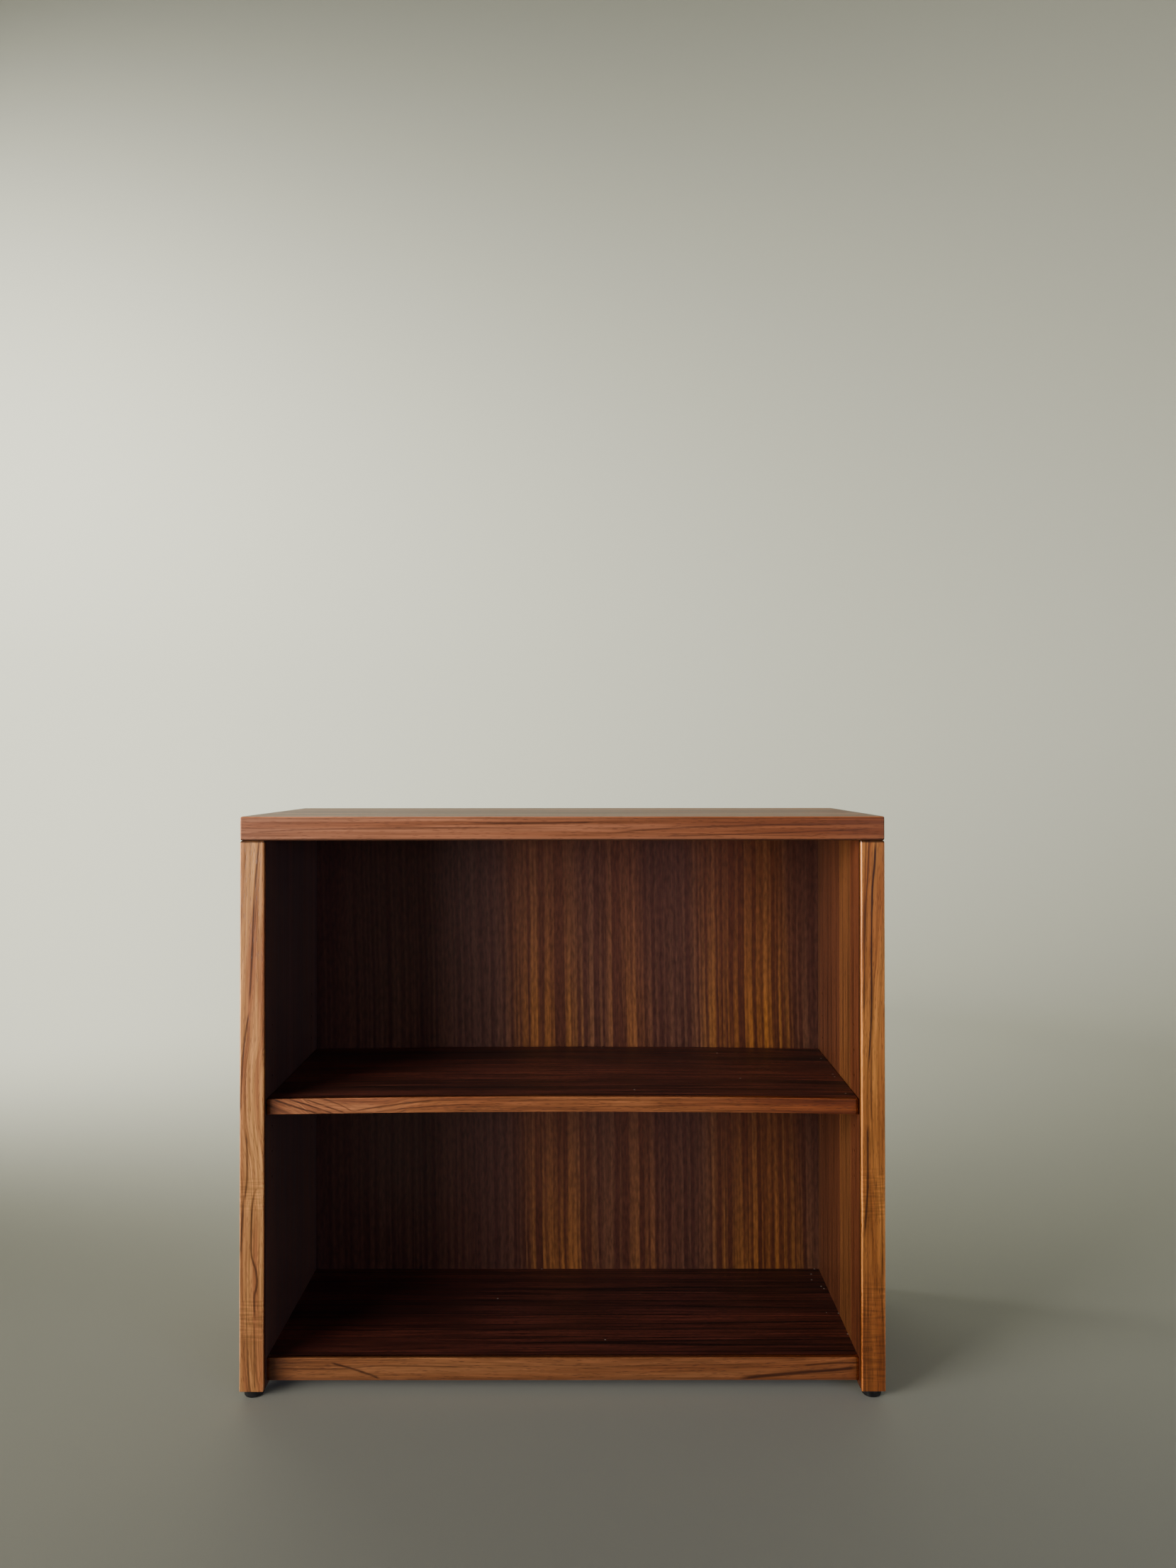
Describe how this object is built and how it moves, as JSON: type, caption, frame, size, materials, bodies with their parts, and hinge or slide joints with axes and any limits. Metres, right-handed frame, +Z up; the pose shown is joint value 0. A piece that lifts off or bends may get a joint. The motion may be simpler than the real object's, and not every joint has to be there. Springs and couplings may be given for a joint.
{
  "type": "bookcase with adjustable shelf",
  "caption": "Low open bookcase of teak-veneered boards with solid lipped edges, a back let into grooves, a shelf on hidden bent wires at adjustable heights, and round floor glides.",
  "frame": {"origin": "on the floor, under the middle of the case's width and depth", "axes": "+X across the width to the right seen from the front, +Y from the open front to the rear, +Z up"},
  "size_m": [0.8, 0.3, 0.72],
  "materials": {
    "teak_veneer": "oiled, satin",
    "teak_solid": "oiled, satin",
    "back_veneer": "oiled, satin",
    "beech_dowel": "turned, raw",
    "bright_steel": "drawn, bright",
    "black_glide": "moulded, satin"
  },
  "bodies": {
    "case": {"top_board": "teak_veneer", "top_front_lipping": "teak_solid", "top_left_end_lipping": "teak_solid", "top_right_end_lipping": "teak_solid", "left_side_board": "teak_veneer", "left_side_front_lipping": "teak_solid", "right_side_board": "teak_veneer", "right_side_front_lipping": "teak_solid", "bottom_board": "teak_veneer", "bottom_front_lipping": "teak_solid", "back_panel": "back_veneer", "top_left_dowels": "beech_dowel", "top_right_dowels": "beech_dowel", "bottom_left_dowels": "beech_dowel", "bottom_right_dowels": "beech_dowel", "front_left_glide": "black_glide", "front_right_glide": "black_glide", "rear_left_glide": "black_glide", "rear_right_glide": "black_glide", "glide_nails": "bright_steel"},
    "shelf_supports": {"left_shelf_wire": "bright_steel", "right_shelf_wire": "bright_steel"},
    "shelf": {"shelf_board": "teak_veneer", "shelf_front_lipping": "teak_solid"}
  },
  "joints": [
    {"name": "shelf_height", "type": "slide", "parent": "case", "child": "shelf_supports", "axis": [0, 0, 1], "range_m": [-0.096, 0.096]},
    {"name": "shelf_pull", "type": "slide", "parent": "shelf_supports", "child": "shelf", "axis": [0, -1, 0], "range_m": [0, 0.26]}
  ]
}
